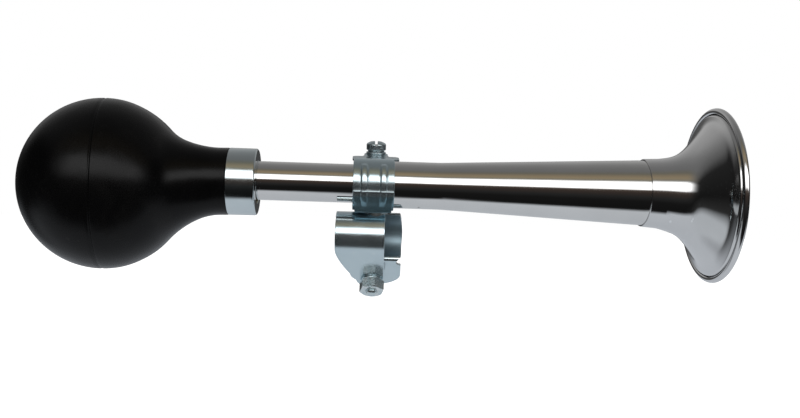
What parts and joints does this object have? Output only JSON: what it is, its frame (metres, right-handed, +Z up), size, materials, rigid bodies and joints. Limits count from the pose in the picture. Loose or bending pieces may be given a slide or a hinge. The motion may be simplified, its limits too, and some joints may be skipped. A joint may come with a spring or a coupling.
{
  "type": "bulb horn",
  "caption": "Straight bulb horn: rubber squeeze bulb, ferrule, slim and tapered tubes, flared rolled-rim bell and a strap bracket that clamps to a handlebar and swivels.",
  "frame": {"origin": "middle of the handlebar bore", "axes": "+X along the horn from bulb to bell, +Z up through the swivel to the horn, +Y away from the viewer of the picture"},
  "size_m": [0.3127, 0.08, 0.0933],
  "materials": {
    "chrome": "polished plate with fine pits",
    "zinc": "bright zinc plate with a bluish cast",
    "steel": "plain wire",
    "brass": "dull",
    "rubber": "matte black"
  },
  "bodies": {
    "bar_clamp": {"bar_strap": "zinc", "bar_bolt": "zinc", "swivel_rivet": "zinc"},
    "bar_washer": {"bar_washer": "zinc"},
    "bar_nut": {"bar_nut": "zinc"},
    "band": {"horn_band": "zinc", "band_nut": "zinc", "band_washer": "zinc", "swivel_washer": "zinc"},
    "band_lockwasher": {"band_lockwasher": "zinc"},
    "band_screw": {"band_screw": "zinc"},
    "horn": {"ferrule": "chrome", "neck_bush": "brass", "rear_tube": "chrome", "joint_bush": "brass", "cone_tube": "chrome", "bell": "chrome", "rim_wire": "steel", "reed_holder": "brass", "reed_shallot": "brass", "reed_wedge": "brass", "reed_clip": "steel"},
    "bulb": {"bulb": "rubber"},
    "reed": {"reed_tongue": "brass"}
  },
  "joints": [
    {"name": "bracket_swivel", "type": "hinge", "parent": "bar_clamp", "child": "band", "pos_m": [0, 0, 0.011], "axis": [0, 0, 1], "continuous": true},
    {"name": "horn_turn", "type": "hinge", "parent": "band", "child": "horn", "pos_m": [0, 0, 0.0233], "axis": [1, 0, 0], "continuous": true},
    {"name": "bulb_squeeze", "type": "slide", "parent": "horn", "child": "bulb", "axis": [1, 0, 0], "range_m": [0, 0.018], "stiffness_N_per_m": 1000, "deforming": ["bulb"]},
    {"name": "reed_flex", "type": "hinge", "parent": "horn", "child": "reed", "pos_m": [-0.07255, 0, 0.02445], "axis": [0, 1, 0], "range_deg": [-1.8, 2.5], "stiffness_Nm_per_rad": 0.06},
    {"name": "band_screw_lift", "type": "slide", "parent": "band", "child": "band_lockwasher", "axis": [0, -0.1045, 0.9945], "range_m": [0, 0.0024]},
    {"name": "band_screw_turn", "type": "hinge", "parent": "band_lockwasher", "child": "band_screw", "pos_m": [-0.0006, 0.01601, 0.02498], "axis": [0, -0.1045, 0.9945], "range_deg": [0, 1080]},
    {"name": "bar_nut_lift", "type": "slide", "parent": "bar_clamp", "child": "bar_washer", "axis": [-0.0215, -0.6153, -0.788], "range_m": [0, 0.0016]},
    {"name": "bar_nut_turn", "type": "hinge", "parent": "bar_washer", "child": "bar_nut", "pos_m": [-0.00048, 0.01776, -0.01385], "axis": [-0.0215, -0.6153, -0.788], "range_deg": [0, 720]}
  ],
  "couplings": [
    {"joint": "band_screw_turn", "follows": "band_screw_lift", "rad_per_m": 7854},
    {"joint": "bar_nut_turn", "follows": "bar_nut_lift", "rad_per_m": 7854}
  ]
}
